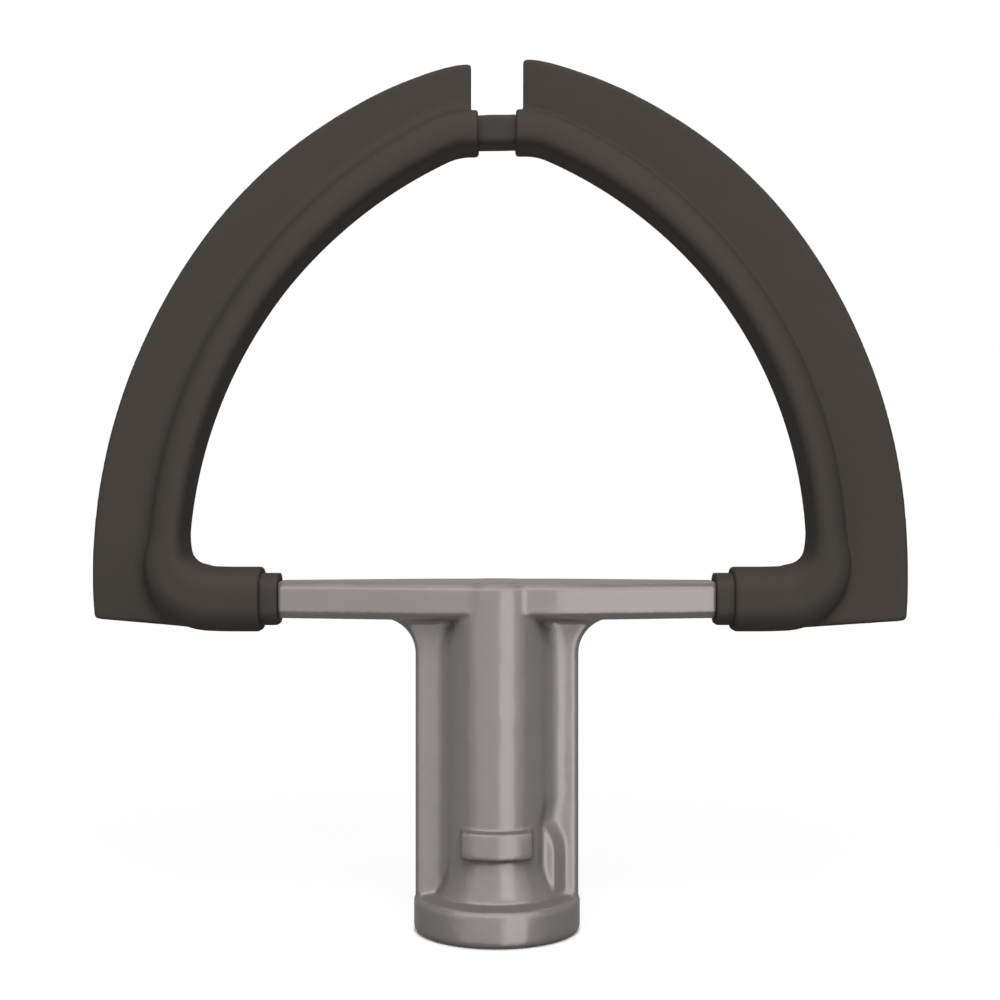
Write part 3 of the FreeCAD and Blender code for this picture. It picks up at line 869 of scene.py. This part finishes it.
class Sweep(NodeGraph):
    """Nodes that lay grids round a guide whose points carry along, reach, lean and outward."""

    def __init__(self, tree: bpy.types.NodeTree, rings: int) -> None:
        """Start the tree.

        Args:
            tree: The tree, with its inputs.
            rings: How many points the guide has.
        """
        super().__init__(tree)
        self.rings = rings
        self.inputs = self.node("NodeGroupInput").outputs

    def sampled(self, name: str, ring: object, kind: str = "FLOAT") -> Socket:
        """Value that the guide carries at a ring.

        Args:
            name: The attribute, or position.
            ring: Number of the guide's point.
            kind: Type of the value.

        Returns:
            The output socket.
        """
        if name == "position":
            value = self.node("GeometryNodeInputPosition").outputs[0]
        else:
            read = self.node("GeometryNodeInputNamedAttribute", data_type=kind)
            read.inputs["Name"].default_value = name
            value = read.outputs["Attribute"]
        sample = self.node("GeometryNodeSampleIndex", data_type=kind, domain="POINT")
        self.feed(sample.inputs["Geometry"], self.inputs["Geometry"])
        self.feed(sample.inputs["Value"], value)
        self.feed(sample.inputs["Index"], ring)
        return sample.outputs[0]

    def grid(self, across: int, around: int) -> tuple[Socket, Socket, Socket]:
        """Flat grid with its row number and its share round the section.

        Args:
            across: Rings of the grid.
            around: Points of each ring.

        Returns:
            The mesh, the number of the ring and the share round it.
        """
        grid = self.node("GeometryNodeMeshGrid")
        grid.inputs["Vertices X"].default_value = across
        grid.inputs["Vertices Y"].default_value = around
        index = self.node("GeometryNodeInputIndex").outputs[0]
        ring = self.math("FLOOR", self.math("DIVIDE", self.plus(index, 0.5), float(around)))
        spoke = self.less(index, self.times(ring, float(around)))
        return grid.outputs["Mesh"], ring, self.math("DIVIDE", spoke, float(around - 1))

    def section(self, name: str, along: object) -> tuple[Socket, Socket, Socket]:
        """Half height, half depth and corner radius of a section.

        Args:
            name: Sleeve or Hollow.
            along: Length along the arm.

        Returns:
            The three sockets.
        """
        corner = (self.inputs["Corner Start"], self.inputs["Corner End"])
        tip = (self.inputs["Tip Start"], self.inputs["Tip End"])
        foot_to_arm = []
        for size in ("Height", "Depth", "Round"):
            ends = (self.inputs[f"{name} Foot {size}"], self.inputs[f"{name} Arm {size}"])
            foot_to_arm.append(self.ranged(along, corner, ends))
        growth = self.less(self.inputs[name + " Tip Height"], self.inputs[name + " Arm Height"])
        height = self.plus(foot_to_arm[0], self.ranged(along, tip, (0.0, growth), Easing.EVEN))
        return self.times(height, 0.5), self.times(foot_to_arm[1], 0.5), foot_to_arm[2]

    def drawn_in(self, along: object) -> Socket:
        """How far the skin draws in where a mouth's edge is rounded.

        Args:
            along: Length along the arm.

        Returns:
            The output socket.
        """
        radius = self.inputs["Mouth Round"]
        from_foot = self.less(along, self.inputs["Mouth Start"])
        from_tip = self.less(self.inputs["Tip End"], along)
        from_mouth = self.math("MINIMUM", self.math("MINIMUM", from_foot, from_tip), radius)
        left = self.less(radius, from_mouth)
        rest = self.less(self.math("POWER", radius, 2.0), self.math("POWER", left, 2.0))
        return self.less(radius, self.math("SQRT", self.math("MAXIMUM", rest, 0.0)))

    def on_arm(self, along: object) -> Socket:
        """Share of 0 on the foot and 1 on the arm."""
        return self.ranged(along, (self.inputs["Corner Middle"], self.inputs["Corner End"]), (0.0, 1.0))

    def corner_shift(self, along: object) -> Socket:
        """How far the skin lies towards the inside of the corner.

        Args:
            along: Length along the arm.

        Returns:
            The output socket.
        """
        middle = self.inputs["Corner Middle"]
        apart = self.less(self.inputs["Corner End"], middle)
        from_middle = self.math("ABSOLUTE", self.less(along, middle))
        return self.ranged(from_middle, (0.0, apart), (self.inputs["Corner Shift"], 0.0))

    def tip_swell(self, along: object) -> Socket:
        """How far the skin swells outwards near the mouth at the tip."""
        near_tip = (self.inputs["Tip Swell Start"], self.inputs["Tip End"])
        return self.ranged(along, near_tip, (0.0, self.inputs["Tip Swell"]))

    def laid(self, mesh: object, ring: object, out: object, deep: object) -> Socket:
        """Grid moved to its place round the guide.

        Args:
            mesh: The grid.
            ring: Number of the guide's point.
            out: Distance towards the arch's outside.
            deep: Distance towards the back.

        Returns:
            The geometry.
        """
        point = self.sampled("position", ring, "FLOAT_VECTOR")
        outward = self.sampled("outward", ring, "FLOAT_VECTOR")
        across = self.vectors("MULTIPLY", outward, out)
        back = self.vectors("MULTIPLY", tuple(Y_AXIS), deep)
        place = self.vectors("ADD", point, self.vectors("ADD", across, back))
        move = self.node("GeometryNodeSetPosition")
        self.feed(move.inputs["Geometry"], mesh)
        self.feed(move.inputs["Position"], place)
        return move.outputs[0]

    def sleeve(self, spokes: int) -> Socket:
        """Sleeve whose skin turns in at both mouths and comes back along the core.

        Args:
            spokes: Points round the section.

        Returns:
            The geometry.
        """
        # The skin's rows come first, the hollow's rows lead back, and one more row closes the sleeve.
        mesh, row, share = self.grid(2 * self.rings + 1, spokes + 1)
        inner = self.math("COMPARE", row, 1.5 * self.rings - 0.5, 0.5 * self.rings)
        skin = self.less(1.0, inner)
        back = self.less(2.0 * self.rings - 1.0, row)
        ring = self.math("MAXIMUM", self.math("MINIMUM", row, back), 0.0)
        along = self.sampled("along", ring)
        drawn_in = self.drawn_in(along)
        sizes = []
        for outer_size, inner_size in zip(self.section("Sleeve", along), self.section("Hollow", along)):
            rounded = self.less(outer_size, drawn_in)
            sizes.append(self.plus(self.times(rounded, skin), self.times(inner_size, inner)))
        angle = self.times(self.plus(share, 0.5 / spokes), 2 * math.pi)
        out, deep = self.outline(along, angle, skin, sizes)
        return self.laid(mesh, ring, out, deep)

    def outline(self, along: object, angle: object, skin: object,
                sizes: Sequence[object]) -> tuple[Socket, Socket]:
        """Point of the sleeve's section, a rounded box whose skin has elliptical outer corners on the arm.

        Args:
            along: Length along the arm.
            angle: Angle round the section, from the arch's outside.
            skin: Share of 1 on the skin and 0 in the hollow.
            sizes: Half height, half depth and corner radius.

        Returns:
            Distances towards the arch's outside and towards the back.
        """
        half_height, half_depth, radius = sizes
        cosine, sine = self.math("COSINE", angle), self.math("SINE", angle)
        soft = self.times(self.math("GREATER_THAN", cosine, 0.0), skin)
        soft = self.times(soft, self.on_arm(along))
        spare = self.less(half_height, radius)
        crest = self.times(self.times(spare, 2.0), soft)
        out = self.less(self.times(self.math("SIGN", cosine), spare), crest)
        out = self.plus(out, self.times(cosine, self.plus(radius, crest)))
        out = self.less(out, self.times(self.corner_shift(along), skin))
        outer = self.times(self.math("MAXIMUM", cosine, 0.0), skin)
        out = self.plus(out, self.times(outer, self.tip_swell(along)))
        deeper = self.less(self.inputs["Outer Depth Round"], radius)
        depth_round = self.plus(radius, self.times(deeper, soft))
        deep = self.times(self.math("SIGN", sine), self.less(half_depth, depth_round))
        return out, self.plus(deep, self.times(sine, depth_round))

    def blade(self, rows: int) -> Socket:
        """Blade as a closed sheet, front from its root to its rim and back again.

        Args:
            rows: Points round the section.

        Returns:
            The geometry.
        """
        mesh, ring, share = self.grid(self.rings, rows + 1)
        along = self.sampled("along", ring)
        reach = self.sampled("reach", ring)
        skin = self.section("Sleeve", along)[0]
        root = self.less(skin, self.inputs["Blade Root Sunk"])
        to_rim = self.math("PINGPONG", self.times(share, 2.0), 1.0)
        spread = self.math("SINE", self.times(to_rim, math.pi / 2))
        showing = self.math("MAXIMUM", self.less(reach, root), 0.0)
        out = self.plus(root, self.times(showing, spread))
        thinning = self.math("DIVIDE", out, self.inputs["Blade Full Reach"])
        ends = (self.inputs["Blade Root Thickness"], self.inputs["Blade Edge Thickness"])
        half = self.times(self.ranged(thinning, (0.0, 1.0), ends, Easing.EVEN), 0.5)
        from_rim = self.less(self.plus(root, showing), out)
        rounding = self.math("MINIMUM", self.math("DIVIDE", from_rim, half), 1.0)
        level = self.less(1.0, rounding)
        rest = self.less(1.0, self.math("POWER", level, 2.0))
        rim = self.math("SQRT", self.math("MAXIMUM", rest, 0.0))
        from_root = self.math("DIVIDE", self.less(out, root), self.inputs["Blade Root Sunk"])
        closing = self.math("MINIMUM", self.times(from_root, 2.0), 1.0)
        behind = self.math("GREATER_THAN", share, 0.5)
        flare = self.inputs["Blade Root Flare"]
        flare_end = self.plus(skin, flare)
        into = self.math("MINIMUM", self.math("MAXIMUM", self.less(flare_end, out), 0.0), flare)
        swell = self.math("SQRT", self.less(self.math("POWER", flare, 2.0), self.math("POWER", into, 2.0)))
        extra = self.times(self.less(flare, swell), behind)
        side = self.less(self.times(behind, 2.0), 1.0)
        plain = self.times(self.times(side, half), rim)
        body = self.times(self.plus(plain, self.times(extra, rim)), closing)
        deep = self.less(body, self.times(self.sampled("lean", ring), out))
        return self.laid(mesh, ring, out, deep)

    def finish(self, parts: Sequence[object], material: bpy.types.Material) -> None:
        """Join the parts, close their seams and turn them to their arm.

        Args:
            parts: The geometries.
            material: The finish.
        """
        join = self.node("GeometryNodeJoinGeometry")
        for part in parts:
            merge = self.node("GeometryNodeMergeByDistance")
            merge.inputs["Distance"].default_value = SEAM_GAP * MM
            self.feed(merge.inputs["Geometry"], part)
            self.tree.links.new(merge.outputs[0], join.inputs[0])
        turn = self.node("ShaderNodeCombineXYZ")
        self.feed(turn.inputs["Z"], self.inputs["Turn"])
        move = self.node("GeometryNodeTransform")
        self.feed(move.inputs["Geometry"], join.outputs[0])
        self.feed(move.inputs["Rotation"], turn.outputs[0])
        plain = self.node("GeometryNodeRealizeInstances")
        self.feed(plain.inputs[0], move.outputs[0])
        coat = self.node("GeometryNodeSetMaterial")
        self.feed(coat.inputs["Geometry"], plain.outputs[0])
        coat.inputs["Material"].default_value = material
        self.feed(self.node("NodeGroupOutput").inputs[0], coat.outputs[0])


class Light(Enum):
    """What a studio lamp adds to the beater, as whether diffuse and glossy rays see it."""

    EVEN = (True, False)
    REFLECTION = (False, True)


@dataclass(frozen=True)
class SoftBox:
    """Rectangular studio lamp, in metres and watts."""

    name: str
    place: tuple[float, float, float]
    width: float
    height: float
    power: float
    adds: Light


@dataclass
class Studio:
    """White studio with a camera at the photograph's angle.

    Lengths are in metres, apart from the lens and the sensor, which are in millimetres.
    """

    camera_x: float = 0.00049
    camera_distance: float = 0.266
    camera_height: float = 0.06976
    lens: float = 58.75
    sensor: float = 36.0
    clip: tuple[float, float] = (0.01, 50.0)
    aim: tuple[float, float, float] = (0.0, 0.0, 0.07)
    world_strength: float = 0.37
    floor_size: float = 6.0
    floor_colour: float = 0.45
    shadow_share: float = 0.1
    shadow_near: float = 0.12
    shadow_far: float = 0.3
    # Painted shade: the floor's colour for bounced light close round the foot, and where that darkening
    # starts and ends.
    painted_shade_colour: float = 0.04
    painted_shade_near: float = 0.0145
    painted_shade_far: float = 0.0175
    contact_near: float = 0.0134
    contact_far: float = 0.0138
    lamps: tuple[SoftBox, ...] = (
        SoftBox("key_box", (0.05, -1.03, 1.03), 0.9, 0.9, 19.5, Light.EVEN),
        SoftBox("back_box", (0.0, 1.2, 0.4), 0.9, 0.9, 5.0, Light.EVEN),
        SoftBox("front_box", (0.0, -0.5, 0.25), 3.2, 1.3, 18.3, Light.REFLECTION),
        SoftBox("front_middle_box", (0.0, -0.48, 0.25), 1.5, 1.3, 8.4, Light.REFLECTION),
        SoftBox("top_box", (0.0, -0.1, 0.9), 1.6, 1.2, 19.5, Light.REFLECTION),
        SoftBox("strip_box", (0.279, -0.643, -0.05), 0.42, 1.1, 5.8, Light.REFLECTION),
    )

    def camera(self) -> None:
        """Place the level camera in front of the beater."""
        data = bpy.data.cameras.new("camera")
        data.lens = self.lens
        data.sensor_width = self.sensor
        data.clip_start, data.clip_end = self.clip
        camera = linked("camera", data)
        camera.location = (self.camera_x, -self.camera_distance, self.camera_height)
        camera.rotation_euler = (math.pi / 2, 0.0, 0.0)
        bpy.context.scene.camera = camera

    def lamp(self, box: SoftBox) -> None:
        """Add a soft box that faces the beater.

        Args:
            box: The lamp's sizes.
        """
        data = bpy.data.lights.new(box.name, "AREA")
        data.shape = "RECTANGLE"
        data.size, data.size_y = box.width, box.height
        data.energy = box.power
        lamp = linked(box.name, data)
        lamp.location = box.place
        lamp.rotation_euler = (Vector(self.aim) - lamp.location).to_track_quat("-Z", "Y").to_euler()
        lamp.visible_diffuse, lamp.visible_glossy = box.adds.value

    def shown_plainly(self, graph: NodeGraph) -> Socket:
        """Factor of 1 for rays that show the background itself.

        Args:
            graph: Nodes of the floor or the world.

        Returns:
            The output socket.
        """
        path = graph.node("ShaderNodeLightPath").outputs
        mirrored = graph.math("MAXIMUM", path["Is Glossy Ray"], path["Is Transmission Ray"])
        return graph.math("MAXIMUM", path["Is Camera Ray"], mirrored)

    def world(self) -> None:
        """Even light from all round, seen as plain white."""
        world = bpy.data.worlds.new("white_studio")
        world.use_nodes = True
        graph = NodeGraph(world.node_tree)
        background = world.node_tree.nodes["Background"]
        background.inputs["Color"].default_value = WHITE
        shown = self.shown_plainly(graph)
        strength = graph.ranged(shown, (0.0, 1.0), (self.world_strength, 1.0), Easing.EVEN)
        graph.feed(background.inputs["Strength"], strength)
        bpy.context.scene.world = world

    def paper(self) -> bpy.types.Material:
        """White paper with the beater's soft shadow near its foot.

        Reflections look through it, so that the strip box shows along the whole hub. Near the foot it
        bounces a darker colour: painted shade.

        Returns:
            The material.
        """
        material = bpy.data.materials.new("pale_floor")
        material.use_nodes = True
        graph = NodeGraph(material.node_tree)
        shown = self.shown_plainly(graph)
        distance = graph.node("ShaderNodeVectorMath", operation="LENGTH")
        graph.feed(distance.inputs[0], graph.node("ShaderNodeTexCoord").outputs["Object"])
        far = distance.outputs["Value"]
        # Painted shade: light bounced from the floor close round the foot is darkened, so the collar's lower
        # edge lies darker.
        painted_bounce = graph.ranged(far, (self.painted_shade_near, self.painted_shade_far), (self.painted_shade_colour, self.floor_colour))
        shaded = graph.node("ShaderNodeBsdfDiffuse")
        graph.feed(shaded.inputs["Color"], graph.ranged(shown, (0.0, 1.0), (painted_bounce, 1.0), Easing.EVEN))
        white = graph.node("ShaderNodeEmission")
        white.inputs["Strength"].default_value = 1.0
        lit = graph.ranged(far, (self.shadow_near, self.shadow_far), (1.0 - self.shadow_share, 1.0))
        clear = graph.ranged(far, (self.contact_near, self.contact_far), (0.0, 1.0))
        share = graph.times(graph.times(lit, clear), shown)
        mirrored = graph.node("ShaderNodeLightPath").outputs["Is Glossy Ray"]
        through = graph.node("ShaderNodeBsdfTransparent").outputs[0]
        surface = shaded.outputs[0]
        for factor, other in ((share, white.outputs[0]), (mirrored, through)):
            mix = graph.node("ShaderNodeMixShader")
            for socket, value in zip(mix.inputs, (factor, surface, other)):
                graph.feed(socket, value)
            surface = mix.outputs[0]
        graph.feed(material.node_tree.nodes["Material Output"].inputs["Surface"], surface)
        return material

    def floor(self) -> None:
        """Lay the floor, which only stages the beater."""
        half = self.floor_size / 2
        mesh = bpy.data.meshes.new("studio_floor")
        corners = [(-half, -half, 0.0), (half, -half, 0.0), (half, half, 0.0), (-half, half, 0.0)]
        mesh.from_pydata(corners, [], [(0, 1, 2, 3)])
        mesh.materials.append(self.paper())
        floor = linked("studio_floor", mesh)

    def build(self) -> None:
        """Set up the camera, the lamps and the surroundings."""
        self.camera()
        for box in self.lamps:
            self.lamp(box)
        self.world()
        self.floor()
        bpy.context.scene.view_settings.view_transform = "Standard"


def main() -> None:
    """Dress the frame."""
    logging.basicConfig(level=logging.INFO)
    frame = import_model()
    Studio().build()
    silicone = SILICONE.material()
    CastHub("hub_casting", "cast_hub", "cast_metal").build(frame, CoatedCasting().material())
    SoftenedSolid("arch_core", "moulded_arch_core", "moulded_core").build(frame, HARD_CORE.material())
    for side in Side:
        WiperEdge(side).build(silicone)


if __name__ == "__main__":
    main()
